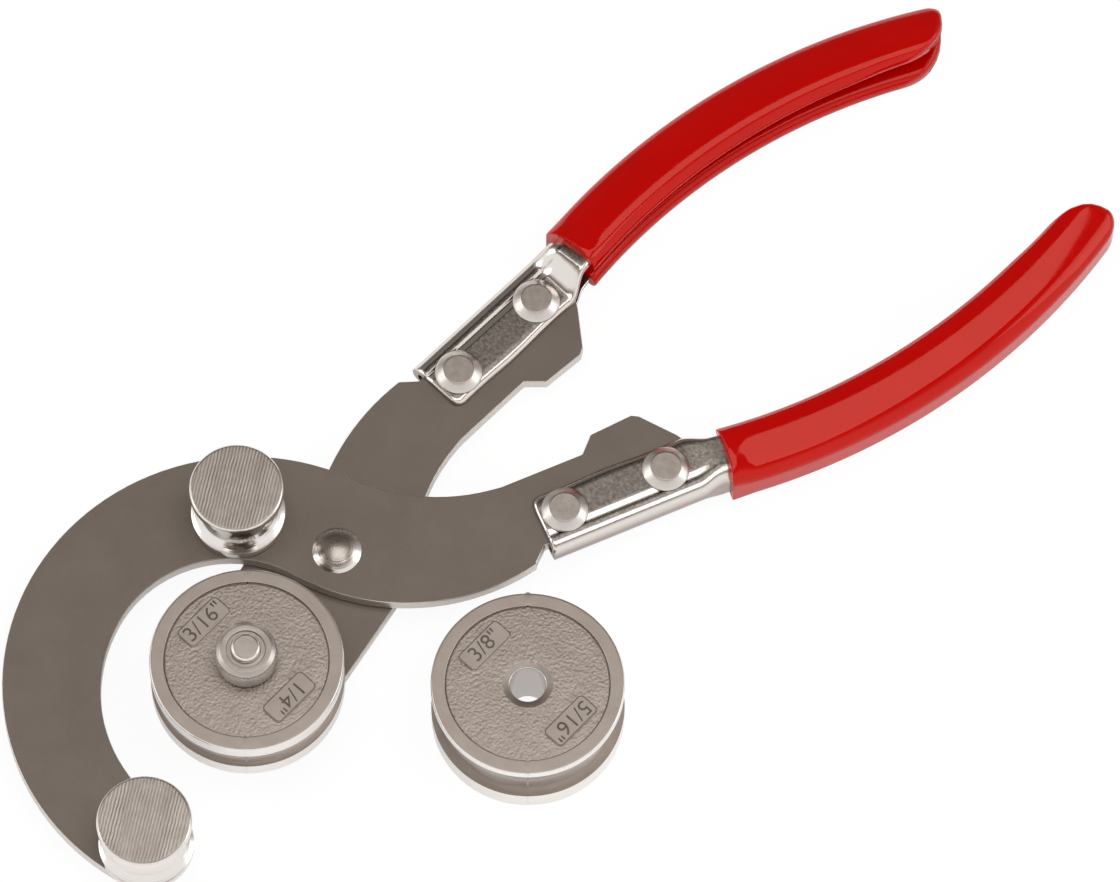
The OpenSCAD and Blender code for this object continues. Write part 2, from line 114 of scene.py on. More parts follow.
# Plates: rounding of the sheared outline and the shortest step along it
PLATE_EDGE_R = 0.25
PLATE_STEP = 0.12

# Meshes: points that count as one, the thinnest face, and angles in degrees up to which faces
# are one flat, past which an edge is rounded, and up to which shading is smooth
WELD = 1e-3
SLIVER = 0.01
FLAT_DEG = 0.3
HARD_DEG = 35
SMOOTH_DEG = 38
TURN_STEPS = 160
GROOVE_STEPS = 20

# Dipped coat: its open end is given as places along it and how far they are drawn in
COAT_T = 1.4
COAT_START = 1.2
COAT_END = 2.4
COAT_MOUTH = ((0.0, 0.35), (0.1, 0.15), (0.35, 0.0))
COAT_STEPS = 90
COAT_CROWN = 0.35
COAT_CROWN_FROM = 0.75
COAT_ROLL = 1.4
COAT_ROLL_FROM = 0.66
COAT_TAPER = 1.4
COAT_TAPER_FROM = 0.4
COAT_TAPER_FULL_Z = 0.6
COAT_TWIST = 0.5
COAT_LIP = 0.8
COAT_LIP_RUN = 6.0
COAT_CORNER_R = 3.2
FLANGE_FLAT = 0.1
SLOT_R = 1.2
SPLAY = 0.25
SPLAY_RUN = (-1.0, 7.0)
TIP_ROUND = 1.6
TIP_RUN = 26.0
TIP_FULL = 1.0
TIP_STEPS = 7
# How far the tip runs on at the web, and its rounds at the web and at the slot
HOOK_TIP = (-0.2, 3.8, 10.0)
DIE_TIP = (2.1, 2.0, 10.2)

# Discs: the parting line runs down the rim at two angles and is cut finer beside them
DISC_R = 19.0
DISC_EDGE_R = 0.5
RIM_W = 2.8
RIM_DRAFT = 0.1
GUTTER_W = 0.4
FIELD_DEPTH = 0.4
BORE_R = 3.5
BORE_BEVEL = 1.5
BORE_EDGE_R = 0.3
SMALL_GROOVE_R = 2.7
LARGE_GROOVE_R = 5.2
LOW_FLANGE = 4.1
SPARE_LOW_FLANGE = 5.2
PARTING_DEGS = (90, 270)
PARTING_CUTS = (-1.6, -0.9, -0.35, 0.35, 0.9, 1.6)
PARTING_HALF_DEG = 1.0
PARTING_RISE = 0.12
NUB_RISE = 0.45
NUB_DROP = 0.9
NUB_H = 0.6

# Size plates on the discs: the edge and the frame are given as insets and heights over the face
TAG_LEN = 11.0
TAG_W = 4.9
TAG_R = 1.0
TAG_OUT = 11.5
TAG_DEG = 137.0
TAG_EDGE = ((0, -FIELD_DEPTH - 0.1), (0, -0.15), (0.04, -0.04), (0.15, 0))
# The frame is a thin line that takes the dark tint of painted shade
TAG_FRAME = ((0.12, 0.01), (0.12, 0.02), (0.27, 0.02), (0.27, 0.01))
NUMERAL_H = 4.5
NUMERAL_LIFT = 0.01
NUMERAL_RISE = 0.02

# Turned pieces
FINE_R = 0.2
ROLLER_R = 9.3
ROLLER_BEVEL = 0.3
ROLLER_EDGE_R = 0.75
ROLLER_GROOVE = 10.4
ROLLER_DEPTH = 3.0
THREAD_R = 2.9
NUT_R = 6.15
NUT_PLAY = 0.05
NUT_BEVEL = 0.9
NUT_EDGE_R = 0.25
NUT_SINK_W = 0.9
NUT_SINK_DEPTH = 0.6
NUT_SINK_R = 0.15
NUT_TEETH = 48
NUT_ROWS = 9
NUT_KNURL = 0.3
KNURL_MARGIN = 0.15
KNURL_OVERLAP = 1.08
PIVOT_HEAD_R = 4.85
PIVOT_HEAD_H = 1.8
PIVOT_HEAD_STEPS = 12
PIVOT_SHANK_R = 3.5
PIVOT_TAIL_R = 5.4
PIVOT_TAIL_TOP = 2.0
PIVOT_TAIL_EDGE_R = 0.4

# Finishes: the part of a random pattern that is used, where the painted highlight's tint lies on sloped
# faces, and where the tints of level faces lie
PATTERN = (0.3, 0.7)
HIGHLIGHT_AT = 0.3
TOP_AT = (0.8, 1.0)
# Slopes in degrees where a finish is all painted highlight and where it is all top tint
STEEP = (41.0, 18.0)
GENTLE = (18.0, 7.0)
# Painted shade on the web of a sheet: full past the first slope and gone under the second
WEB_SHADE_SLOPES = (80.0, 50.0)
# Saw marks are full in a middle strip of a face and faint past it
SAW_PITCH = 0.65
SAW_DEPTH = 0.12
SAW_LEAN_DEG = 12.0
SAW_STRIP = (2.0, 6.5)
SAW_FAINT = 0.2
SAW_REACH = 0.1
# Turned rings and cast pebbles; the painted shade in a disc's groove lies inside its rim and fades in
# there
RING_DEPTH = 0.008
PEBBLE = 0.52
PEBBLE_DEPTH = 0.1
GROOVE_SHADE_FADE = (0.5, 0.1)
GROOVE_SHADE_W = 5.0
VINYL_IOR = 1.58

# Stage: strength of the table's glow and its share beside plain white paper, each with what a
# reflection in metal adds; then the far wall's dark, from where to where it comes in
TABLE_HALF = 3000.0
TABLE_DROP = 0.05
TABLE_MOTTLE = 40.0
TABLE_GLOW = 1.05
GLOW_IN_METAL = 0.75
GLOW_SHARE = 0.9
GLOW_SHARE_IN_METAL = 0.14
DARK_WALL = "#5e554e"
FAR_WALL = (0.05, 0.75)
FAR_WALL_SHARE = 0.93

# Camera: distance and picture scale are at the point it aims at
AIM = (44.0, 24.9, 6.0)
VIEW_ELEVATION_DEG = 67.2
VIEW_DISTANCE = 2000.0
VIEW_END = 100.0
MM_PER_PIXEL = 0.1985
PICTURE_W = 1120
SENSOR_W = 36.0


def centre_of(node):
    """Middle of a CAD node's box, in millimetres."""
    low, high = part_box(node)
    return (low + high) / 2 / MM


def height_of(node, top):
    """Lowest or highest level of a CAD node, in millimetres."""
    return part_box(node)[1 if top else 0].z / MM


# Node trees


def linear(colour):
    """An sRGB hex colour as linear RGBA."""
    parts = [int(colour[i:i + 2], 16) / 255 for i in (1, 3, 5)]
    return [c / 12.92 if c <= 0.04045 else ((c + 0.055) / 1.055) ** 2.4 for c in parts] + [1.0]


def add(tree, kind, settings=None, inputs=None, stops=None):
    """Adds a node; an input is a value or the socket that feeds it, and stops fill a ramp."""
    node = tree.nodes.new(kind)
    for key, value in (settings or {}).items():
        setattr(node, key, value)
    for key, value in (inputs or {}).items():
        if isinstance(value, bpy.types.NodeSocket):
            tree.links.new(value, node.inputs[key])
        else:
            node.inputs[key].default_value = value
    if stops:
        ramp = node.color_ramp
        while len(ramp.elements) < len(stops):
            ramp.elements.new(1.0)
        for element, (place, colour) in zip(ramp.elements, stops):
            element.position = place
            element.color = linear(colour)
    return node


def calc(tree, operation, *values):
    """Result of a math node on values or sockets."""
    return add(tree, "ShaderNodeMath", {"operation": operation}, dict(enumerate(values))).outputs["Value"]


def span(tree, value, start, end, low=0.0, high=1.0):
    """A value carried from one range to another and held at its ends."""
    return add(tree, "ShaderNodeMapRange", {}, {
        "Value": value, "From Min": start, "From Max": end, "To Min": low, "To Max": high,
    }).outputs["Result"]


def parts_of(tree, vector):
    """The X, Y and Z sockets of a vector."""
    return add(tree, "ShaderNodeSeparateXYZ", {}, {"Vector": vector}).outputs


def new_material(name):
    """An empty node material, with its tree and its output."""
    material = bpy.data.materials.new(name)
    material.use_nodes = True
    tree = material.node_tree
    tree.nodes.clear()
    return material, tree, add(tree, "ShaderNodeOutputMaterial")


def own_place(tree, centre):
    """Object coordinates measured from a point given in millimetres."""
    place = add(tree, "ShaderNodeTexCoord")
    return add(tree, "ShaderNodeMapping", {"vector_type": "POINT"}, {
        "Vector": place.outputs["Object"],
        "Location": [-c * MM for c in centre],
    }).outputs["Vector"]


def mottle(tree, place, size, detail=3.0):
    """Soft random pattern whose blotches are about size millimetres wide."""
    return add(tree, "ShaderNodeTexNoise", {}, {
        "Vector": place, "Scale": 1 / (size * MM), "Detail": detail, "Roughness": 0.55,
    }).outputs["Fac"]


def wave_scale(pitch):
    """Scale of a wave texture whose lines repeat at a pitch in millimetres."""
    return 2 * math.pi / (20 * pitch * MM)


def flatness(tree, slopes=STEEP):
    """1 on level faces, 0 on faces that slope more, between the two angles given in degrees."""
    facing = parts_of(tree, add(tree, "ShaderNodeNewGeometry").outputs["Normal"])
    steep, gentle = (math.cos(math.radians(slope)) for slope in slopes)
    return span(tree, calc(tree, "ABSOLUTE", facing["Z"]), steep, gentle)


def surface(name, tint, rough, bump, blotch, grain, metal=1.0, centre=(0, 0, 0), painted_sheen=None,
            turn_bright=STEEP):
    """Shared build of a finish: two tints in blotches, uneven gloss and a fine grain.

    tint is a pair of hex colours and rough a pair of roughness values. bump is the depth of the
    grain, and blotch and grain are the widths of the two patterns, in millimetres. The slope tint
    and its roughness give a painted highlight to what stands upright or slopes, and turn_bright
    the slope in degrees where that highlight is full and where it begins.
    """
    material, tree, output = new_material(name)
    place = own_place(tree, centre)
    blotches = mottle(tree, place, blotch)
    grains = mottle(tree, place, grain, 2.0)
    tone = span(tree, blotches, *PATTERN, *TOP_AT)
    gloss = span(tree, grains, *PATTERN, *rough)
    stops = list(zip(TOP_AT, tint))
    # Painted highlight: sloped and upright faces take the brighter slope tint and their own roughness
    if painted_sheen:
        level = flatness(tree, turn_bright)
        tone = calc(tree, "MULTIPLY", tone, level)
        gloss = span(tree, level, 0.0, 1.0, painted_sheen[1], gloss)
        stops.insert(0, (HIGHLIGHT_AT, painted_sheen[0]))
    colour = add(tree, "ShaderNodeValToRGB", {}, {"Fac": tone}, stops=stops)
    relief = add(tree, "ShaderNodeBump", {}, {"Height": grains, "Distance": bump * MM, "Strength": 1.0})
    shader = add(tree, "ShaderNodeBsdfPrincipled", {}, {
        "Base Color": colour.outputs["Color"],
        "Roughness": gloss,
        "Metallic": metal,
        "Normal": relief.outputs["Normal"],
    })
    tree.links.new(shader.outputs["BSDF"], output.inputs["Surface"])
    return material, tree, place, shader


def paint_shade(tree, shader, share, tint):
    """Paints shade: mixes a darker tint into a finish where the share is high."""
    skin = shader.inputs["Base Color"].links[0].from_socket
    mixed = add(tree, "ShaderNodeMixRGB", {}, {"Fac": share, "Color1": skin, "Color2": linear(tint)})
    tree.links.new(mixed.outputs["Color"], shader.inputs["Base Color"])


def marked(tree, shader, height, depth, strength=1.0, invert=False):
    """Lays a relief of a depth in millimetres over what a finish already has."""
    under = shader.inputs["Normal"].links[0].from_socket
    relief = add(tree, "ShaderNodeBump", {"invert": invert}, {
        "Height": height, "Distance": depth * MM, "Strength": strength, "Normal": under,
    })
    tree.links.new(relief.outputs["Normal"], shader.inputs["Normal"])


def phosphated_steel():
    """Plates: an even dull grey skin on the faces, and a painted highlight on the sloped and upright faces
    of the sheared outline.
    """
    return surface("phosphated_steel", ("#7c736b", "#81786f"), (0.5, 0.6),
                   bump=0.006, blotch=9.0, grain=0.35, painted_sheen=("#dcd6d0", 0.36))[0]


def zinc_plated_sheet():
    """Handle sheet: speckled plating, dark on the flats, with a painted highlight where it bends and
    painted shade, a grey tint, on the upright web.
    """
    material, tree, _, shader = surface(
        "zinc_plated_sheet", ("#665f58", "#928b84"), (0.24, 0.36),
        bump=0.005, blotch=0.7, grain=0.4, painted_sheen=("#e2dcd6", 0.17), turn_bright=GENTLE)
    # Painted shade: upright faces of the web take a grey tint over the painted highlight
    web = calc(tree, "SUBTRACT", 1.0, flatness(tree, WEB_SHADE_SLOPES))
    paint_shade(tree, shader, web, "#aaa099")
    return material


def headed_steel():
    """Rivets: cold-headed cones with a painted highlight, and a rougher, duller flat where the die
    pressed.
    """
    return surface("headed_steel", ("#9a9189", "#aba39b"), (0.34, 0.44),
                   bump=0.008, blotch=1.2, grain=0.3, painted_sheen=("#d6cfc9", 0.28))[0]


# Turned pieces take a painted highlight on their sloped and upright faces, from the slope tint given
def turned_steel(name, centre, pitch, rough=(0.34, 0.44), painted_sheen=("#e6e1dc", 0.14), sawn_z=None):
    """Rollers, nut, pivot and stud: concentric tool marks at a pitch in millimetres.

    sawn_z is the height over the centre of a parted face that has straight saw marks too.
    """
    material, tree, place, shader = surface(
        name, ("#a0978f", "#aea69f"), rough,
        bump=0.004, blotch=3.0, grain=0.3, centre=centre, painted_sheen=painted_sheen)
    rings = add(tree, "ShaderNodeTexWave", {"wave_type": "RINGS", "rings_direction": "Z"}, {
        "Vector": place, "Scale": wave_scale(pitch), "Distortion": 0.6,
        "Detail": 1.0, "Detail Scale": 0.3,
    })
    marked(tree, shader, rings.outputs["Fac"], RING_DEPTH)
    if sawn_z is not None:
        aslant = add(tree, "ShaderNodeMapping", {}, {
            "Vector": place, "Rotation": (0, 0, math.radians(SAW_LEAN_DEG)),
        }).outputs["Vector"]
        bands = add(tree, "ShaderNodeTexWave", {"wave_type": "BANDS", "bands_direction": "X"}, {
            "Vector": aslant, "Scale": wave_scale(SAW_PITCH), "Distortion": 2.0,
            "Detail": 2.0, "Detail Scale": 0.6,
        })
        near = calc(tree, "COMPARE", parts_of(tree, place)["Z"], sawn_z * MM, SAW_REACH * MM)
        off = calc(tree, "ABSOLUTE", parts_of(tree, aslant)["X"])
        worn = span(tree, off, SAW_STRIP[0] * MM, SAW_STRIP[1] * MM, 1.0, SAW_FAINT)
        kept = calc(tree, "MULTIPLY", near, worn)
        marked(tree, shader, calc(tree, "MULTIPLY", bands.outputs["Fac"], kept), SAW_DEPTH)
    return material


def die_cast_zinc(name, centre, field_z):
    """Discs: a plain cast skin with a painted highlight on the sloped and upright faces, a pebbled grain
    on the sunk field, and painted shade, a darker tint, on the steep faces in the groove.
    """
    material, tree, place, shader = surface(
        name, ("#a1968e", "#aaa097"), (0.42, 0.52),
        bump=0.006, blotch=5.0, grain=0.4, centre=(centre.x, centre.y, field_z), painted_sheen=("#f0ece8", 0.16))
    pebbles = add(tree, "ShaderNodeTexVoronoi", {"feature": "SMOOTH_F1"}, {
        "Vector": place, "Scale": 1 / (PEBBLE * MM), "Randomness": 1.0,
    })
    near = calc(tree, "COMPARE", parts_of(tree, place)["Z"], 0.0, FIELD_DEPTH * MM / 3)
    depth = calc(tree, "MULTIPLY", near, pebbles.outputs["Distance"])
    marked(tree, shader, depth, PEBBLE_DEPTH, strength=0.85, invert=True)
    across = add(tree, "ShaderNodeVectorMath", {"operation": "MULTIPLY"}, {0: place, 1: (1, 1, 0)})
    reach = add(tree, "ShaderNodeVectorMath", {"operation": "LENGTH"}, {
        0: across.outputs["Vector"],
    }).outputs["Value"]
    # Painted shade in the groove: steep faces from inside the rim's edge to a width further in take a
    # darker tint
    sunk = span(tree, reach, *((DISC_R - fade) * MM for fade in GROOVE_SHADE_FADE), 1.0, 0.0)
    outer = calc(tree, "GREATER_THAN", reach, (DISC_R - RIM_W - GROOVE_SHADE_W) * MM)
    steep = calc(tree, "SUBTRACT", 1.0, flatness(tree))
    groove = calc(tree, "MULTIPLY", calc(tree, "MULTIPLY", sunk, outer), steep)
    paint_shade(tree, shader, groove, "#958b83")
    return material


def stamp_shade_zinc():
    """Numerals and frames on the size plates: a dark tint, painted shade standing in for the shade in the
    lines of the numerals and frame.
    """
    return surface("stamp_shade_zinc", ("#5c534c", "#6f665e"), (0.5, 0.65),
                   bump=0.006, blotch=1.5, grain=0.2, metal=0.6)[0]


def dipped_vinyl():
    """Grips: glossy soft vinyl, saturated red with a slightly uneven skin and a warm shine."""
    material, _, _, shader = surface("dipped_vinyl", ("#bc0202", "#c20404"), (0.05, 0.09),
                                     bump=0.003, blotch=12.0, grain=2.5, metal=0.0)
    shader.inputs["IOR"].default_value = VINYL_IOR
    shader.inputs["Specular Tint"].default_value = linear("#ffb0a0")
    return material


# Meshes


def new_object(name, data):
    """An object in the scene that holds the data."""
    made = bpy.data.objects.new(name, data)
    bpy.context.scene.collection.objects.link(made)
    return made


def final_mesh(holder):
    """The mesh that an object comes to; the object itself is removed."""
    bpy.context.view_layer.update()
    final = holder.evaluated_get(bpy.context.evaluated_depsgraph_get())
    mesh = bpy.data.meshes.new_from_object(final)
    bpy.data.objects.remove(holder)
    return mesh


def piece(name, bm, material, nodes, body=None):
    """Makes an object of a mesh in millimetres; it rides with the CAD nodes it stands for."""
    bmesh.ops.transform(bm, matrix=Matrix.Scale(MM, 4), verts=bm.verts)
    bmesh.ops.recalc_face_normals(bm, faces=bm.faces)
    mesh = bpy.data.meshes.new(name)
    bm.to_mesh(mesh)
    bm.free()
    mesh.shade_smooth()
    mesh.set_sharp_from_angle(angle=math.radians(SMOOTH_DEG))
    mesh.materials.append(material)
    made = new_object(name, mesh)
    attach(made, body or frame["nodes"][nodes[0]]["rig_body"])
    if nodes:
        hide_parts(*nodes)
    evened = made.modifiers.new("even_faces", "WEIGHTED_NORMAL")
    evened.keep_sharp = True
    evened.weight = 100


def rounded(corners, steps=6, between=0):
    """Closed outline from corners (x, y, radius), with points between them on each straight."""
    runs = []
    for i, (x, y, r) in enumerate(corners):
        here = Vector((x, y))
        if r <= 0:
            runs.append([here])
            continue
        back = (Vector(corners[i - 1][:2]) - here).normalized()
        on = (Vector(corners[(i + 1) % len(corners)][:2]) - here).normalized()
        half = back.angle(on) / 2
        middle = here + (back + on).normalized() * (r / math.sin(half))
        start = here + back * (r / math.tan(half)) - middle
        turn = start.angle_signed(here + on * (r / math.tan(half)) - middle)
        runs.append([middle + Matrix.Rotation(-turn * k / steps, 2) @ start for k in range(steps + 1)])
    outline = []
    for i, run in enumerate(runs):
        outline += run
        after = runs[(i + 1) % len(runs)][0]
        outline += [run[-1].lerp(after, (k + 1) / (between + 1)) for k in range(between)]
    return outline


def loft(rings, around=False):
    """Skin over rings of points; around joins the last ring to the first, or else both get caps."""
    bm = bmesh.new()
    loops = [[bm.verts.new(point) for point in ring] for ring in rings]
    pairs = list(zip(loops, loops[1:])) + ([(loops[-1], loops[0])] if around else [])
    for a, b in pairs:
        for i in range(len(a)):
            bm.faces.new((a[i - 1], a[i], b[i], b[i - 1]))
    if not around:
        bm.faces.new(loops[0])
        bm.faces.new(loops[-1])
    return bm


def lathe(profile, centre, swell=None):
    """Turns a closed outline of (radius, height) about a vertical axis.

    swell gives what a point of the outline gains in radius at an angle in degrees, for a form
    that is not quite round; the turn is cut finer beside the parting line for it.
    """
    turns = [360 * k / TURN_STEPS for k in range(TURN_STEPS)]
    if swell:
        turns = sorted(turns + [side + cut for side in PARTING_DEGS for cut in PARTING_CUTS])
    rings = []
    for turn in turns:
        a = math.radians(turn)
        radii = [p.x + (swell(p, turn) if swell else 0) for p in profile]
        rings.append([Vector((centre.x + r * math.cos(a), centre.y + r * math.sin(a), p.y))
                      for r, p in zip(radii, profile)])
    bm = loft(rings, around=True)
    bmesh.ops.remove_doubles(bm, verts=bm.verts, dist=WELD / 10)
    return bm


def softened(node, material, radius, shortest=WELD):
    """A CAD node with its hard edges rounded; edges under the shortest length are closed first."""
    bm = bmesh.new()
    bm.from_mesh(frame["nodes"][node].data)
    bmesh.ops.transform(bm, matrix=Matrix.Scale(1 / MM, 4), verts=bm.verts)
    bmesh.ops.remove_doubles(bm, verts=bm.verts, dist=shortest)
    bmesh.ops.dissolve_degenerate(bm, dist=SLIVER, edges=bm.edges)
    bmesh.ops.dissolve_limit(bm, angle_limit=math.radians(FLAT_DEG), verts=bm.verts, edges=bm.edges)
    hard = [e for e in bm.edges
            if len(e.link_faces) == 2 and e.calc_face_angle() > math.radians(HARD_DEG)]
    bmesh.ops.bevel(bm, geom=hard, offset=radius, offset_type="OFFSET", segments=2, profile=0.5,
                    affect="EDGES", clamp_overlap=shortest < radius / 3)
    bmesh.ops.remove_doubles(bm, verts=bm.verts, dist=WELD)
    bmesh.ops.dissolve_degenerate(bm, dist=WELD / 10, edges=bm.edges)
    piece(node + "_form", bm, material, [node])


# Sheet handles and their dipped grips


def arm_turn(deg, mirrored):
    """From an arm's own axes to the frame's axes."""
    turn = Matrix.Rotation(math.radians(deg), 4, "Z")
    return turn @ Matrix.Scale(-1, 4, (0, 1, 0)) if mirrored else turn


def on_curve(along, across, z):
    """A point of the curved handle, along its middle line and across from its web."""
    reach = CURVE_R + CHANNEL_W / 2 - across
    a = math.radians(-90 - CURVE_OUT_DEG) + along / CURVE_R
    return Vector((CURVE_C.x + reach * math.cos(a), CURVE_C.y + reach * math.sin(a), z))


def ease(value, start, end):
    """Smooth step from 0 at start to 1 at end."""
    t = min(max((value - start) / (end - start), 0), 1)
    return t * t * (3 - 2 * t)


def sheet_outline(width, height, bend_r):
    """Section of the folded sheet, web at 0, with close points at the crease and the rolled edge."""
    h, inner = height / 2, height / 2 - SHEET_T
    inner_r = max(bend_r - SHEET_T, BURR_R)
    close = [width - EDGE_ROLL_W * d for d in (0.7, 0.85, 1.0)]
    close += [CREASE_X + CREASE_SLOPE * d for d in (1.4, 1.0, 0.85, 0.7, 0.5, 0.3, 0.15, 0.05)]
    close += [CREASE_X - CREASE_FLANK * d for d in (0.0, 0.2, 0.5, 0.8, 1.0)]
    outer = [(width, h, EDGE_R)] + [(x, h, 0) for x in close] + [(0, h, bend_r), (0, -h, bend_r)]
    outer += [(x, -h, 0) for x in reversed(close)] + [(width, -h, EDGE_R)]
    inside = [(width, -inner, BURR_R), (SHEET_T, -inner, inner_r),
              (SHEET_T, inner, inner_r), (width, inner, BURR_R)]
    return rounded(outer + inside, steps=7, between=1)


def fold_ring(x, mid_z):
    """One section of the fold on the shank: pressed crease, rounded front end and bowed edges."""
    end = max(END_ROUND - (x - FOLD_X), 0)
    width = FOLD_W - (END_ROUND - math.sqrt(END_ROUND ** 2 - end ** 2))
    width += EDGE_BOW * math.sin(math.pi * (x - RIVET_XS[0]) / (RIVET_XS[1] - RIVET_XS[0])) ** 2
    ring = []
    for p in sheet_outline(width, FOLD_H, FOLD_R):
        rise = -CREASE_DEPTH * min(ease(p.x, CREASE_X + CREASE_SLOPE, CREASE_X),
                                   ease(p.x, CREASE_X - CREASE_FLANK, CREASE_X))
        rise -= EDGE_ROLL * (max(p.x - width + EDGE_ROLL_W, 0) / EDGE_ROLL_W) ** 2
        rise -= END_R - math.sqrt(END_R ** 2 - max(END_R - (x - FOLD_X), 0) ** 2)
        outside = ease(abs(p.y), FOLD_H / 2 - SHEET_T, FOLD_H / 2)
        ring.append(Vector((x, WEB_Y + p.x, mid_z + p.y + math.copysign(1, p.y) * rise * outside)))
    return ring


def splayed(across, along):
    """Share of the channel's full height at a place: the flanges spread from the web."""
    from_slot = 1 - min(max((across + COAT_T) / (CHANNEL_W + 2 * COAT_T), 0), 1)
    return 1 - SPLAY * from_slot * ease(along, *SPLAY_RUN)


def handle_sheet(low):
    """The folded sheet from its front end into the grip, in an arm's own axes.

    low is the level of the underside of the plate that it is folded round.
    """
    mid_z = low + PLATE_T / 2
    grip_mid = CHANNEL_H / 2 + COAT_T
    channel = sheet_outline(CHANNEL_W, CHANNEL_H, CHANNEL_R)

    def in_grip(p, along):
        """A point of the channel's section at a place along the grip."""
        return on_curve(along, p.x, grip_mid + p.y * splayed(p.x, along))

    stations = [FOLD_X + END_R * d for d in (0.02, 0.08, 0.2, 0.4, 0.7)]
    stations += [FOLD_X + END_R + (FLARE_X - FOLD_X - END_R) * k / FOLD_STEPS
                 for k in range(FOLD_STEPS + 1)]
    rings = [fold_ring(x, mid_z) for x in stations]
    last = rings[-1]
    for k in range(1, FLARE_STEPS + 1):
        t = ease(k, 0, FLARE_STEPS)
        ring = []
        for a, p in zip(last, channel):
            b = in_grip(p, 0)
            level = a.lerp(b, t)
            level.x = a.x + (b.x - a.x) * k / FLARE_STEPS
            ring.append(level)
        rings.append(ring)
    rings += [[in_grip(p, along) for p in channel] for along in SHEET_IN_GRIP]
    return rings


def coat_outline(inset):
    """Section of the dipped coat, drawn in by an inset at its ends."""
    flange = SHEET_T + 2 * COAT_T
    end_r = (flange - FLANGE_FLAT) / 2
    low, high = -COAT_T + inset, CHANNEL_W + COAT_T - inset
    slot = SHEET_T + COAT_T - inset
    top = CHANNEL_H + 2 * COAT_T - inset
    corners = [
        (low, inset, COAT_CORNER_R - inset),
        (high, inset, end_r - inset), (high, flange - inset, end_r - inset),
        (slot, flange - inset, SLOT_R + inset), (slot, top - flange + 2 * inset, SLOT_R + inset),
        (high, top - flange + 2 * inset, end_r - inset), (high, top, end_r - inset),
        (low, top, COAT_CORNER_R - inset),
    ]
    return rounded(corners, steps=8, between=3)


def handle_coat(curve_in_deg, tip):
    """The dipped coat along the curve, with a rounded tip, in an arm's own axes."""
    run_on, web_r, slot_r = tip
    length = math.radians(CURVE_OUT_DEG + curve_in_deg) * CURVE_R + COAT_END + run_on
    total_h = CHANNEL_H + 2 * COAT_T
    total_w = CHANNEL_W + 2 * COAT_T
    stations = [(COAT_START + along, inset) for along, inset in COAT_MOUTH]
    start = stations[-1][0]
    stations += [(start + (length - TIP_ROUND - start) * k / COAT_STEPS, 0.0)
                 for k in range(1, COAT_STEPS + 1)]
    for k in range(1, TIP_STEPS + 1):
        a = math.pi / 2 * k / TIP_STEPS
        stations.append((length - TIP_ROUND * (1 - math.sin(a)), TIP_ROUND * (1 - math.cos(a))))
    rings = []
    for along, inset in stations:
        ring = []
        for p in coat_outline(min(inset, TIP_ROUND - SLIVER)):
            share = (p.x + COAT_T) / total_w
            crown = COAT_CROWN * max(1 - (2 * share - 1) ** 2, 0)
            crown -= COAT_ROLL * (max(share - COAT_ROLL_FROM, 0) / (1 - COAT_ROLL_FROM)) ** 2
            crown -= COAT_TWIST * (along / length) ** 2 * (1 - share)
            crown *= ease(p.y, total_h * COAT_CROWN_FROM, total_h)
            web_cut = max(web_r - share * total_w, 0)
            slot_cut = max(slot_r - (1 - share) * total_w, 0)
            cut = web_r - math.sqrt(max(web_r ** 2 - web_cut ** 2, 0))
            cut += slot_r - math.sqrt(max(slot_r ** 2 - slot_cut ** 2, 0))
            cut *= ease(along, length - TIP_RUN, length - TIP_FULL)
            lip = ease(along, start + COAT_LIP_RUN, start)
            cut -= COAT_LIP * math.sin(math.pi * min(max(share, 0), 1)) * lip
            z = total_h / 2 + (p.y - total_h / 2) * splayed(p.x, along) + crown
            narrower = COAT_TAPER * (along / length) ** 3 * ease(share, COAT_TAPER_FROM, 1)
            narrower *= ease(p.y, total_h / 2, total_h * COAT_TAPER_FULL_Z)
            ring.append(on_curve(along - cut, p.x - narrower, z))
        rings.append(ring)
    return rings


def moved(rings, matrix):
    """Rings carried from an arm's axes to the frame's axes."""
    return [[matrix @ point for point in ring] for ring in rings]


def build_handles():
    """Folded sheets, dipped grips and rivets of both arms."""
    sheet = zinc_plated_sheet()
    steel = headed_steel()
    vinyl = dipped_vinyl()
    arms = {
        "hook": (arm_turn(HOOK_DEG, False), HOOK_CURVE_IN_DEG, HOOK_TIP),
        "die": (arm_turn(DIE_DEG, True), DIE_CURVE_IN_DEG, DIE_TIP),
    }
    for arm, (turn, curve_in_deg, tip) in arms.items():
        folded = loft(moved(handle_sheet(height_of(arm + "_plate", top=False)), turn))
        piece(arm + "_sheet", folded, sheet, [arm + "_channel"])
        coat = loft(moved(handle_coat(curve_in_deg, tip), turn))
        piece(arm + "_coat", coat, vinyl, [arm + "_grip"])
        for place in ("front", "rear"):
            softened(f"{arm}_rivet_{place}", steel, RIVET_EDGE_R)


# Plates and turned pieces


def build_plates():
    """The two plates, with the outline's edges rounded."""
    steel = phosphated_steel()
    for node in ("hook_plate", "die_plate"):
        softened(node, steel, PLATE_EDGE_R, PLATE_STEP)


def groove_arc(edge_r, mid_z, half, depth):
    """Points of a round groove in a rim, from its lower edge to its upper edge."""
    r = (half * half + depth * depth) / (2 * depth)
    reach = math.asin(min(half / r, 1)) if depth < r else math.pi / 2
    middle = edge_r - depth + r
    return [(middle - r * math.cos(a), mid_z + r * math.sin(a), 0)
            for a in (reach * (2 * k / GROOVE_STEPS - 1) for k in range(GROOVE_STEPS + 1))]


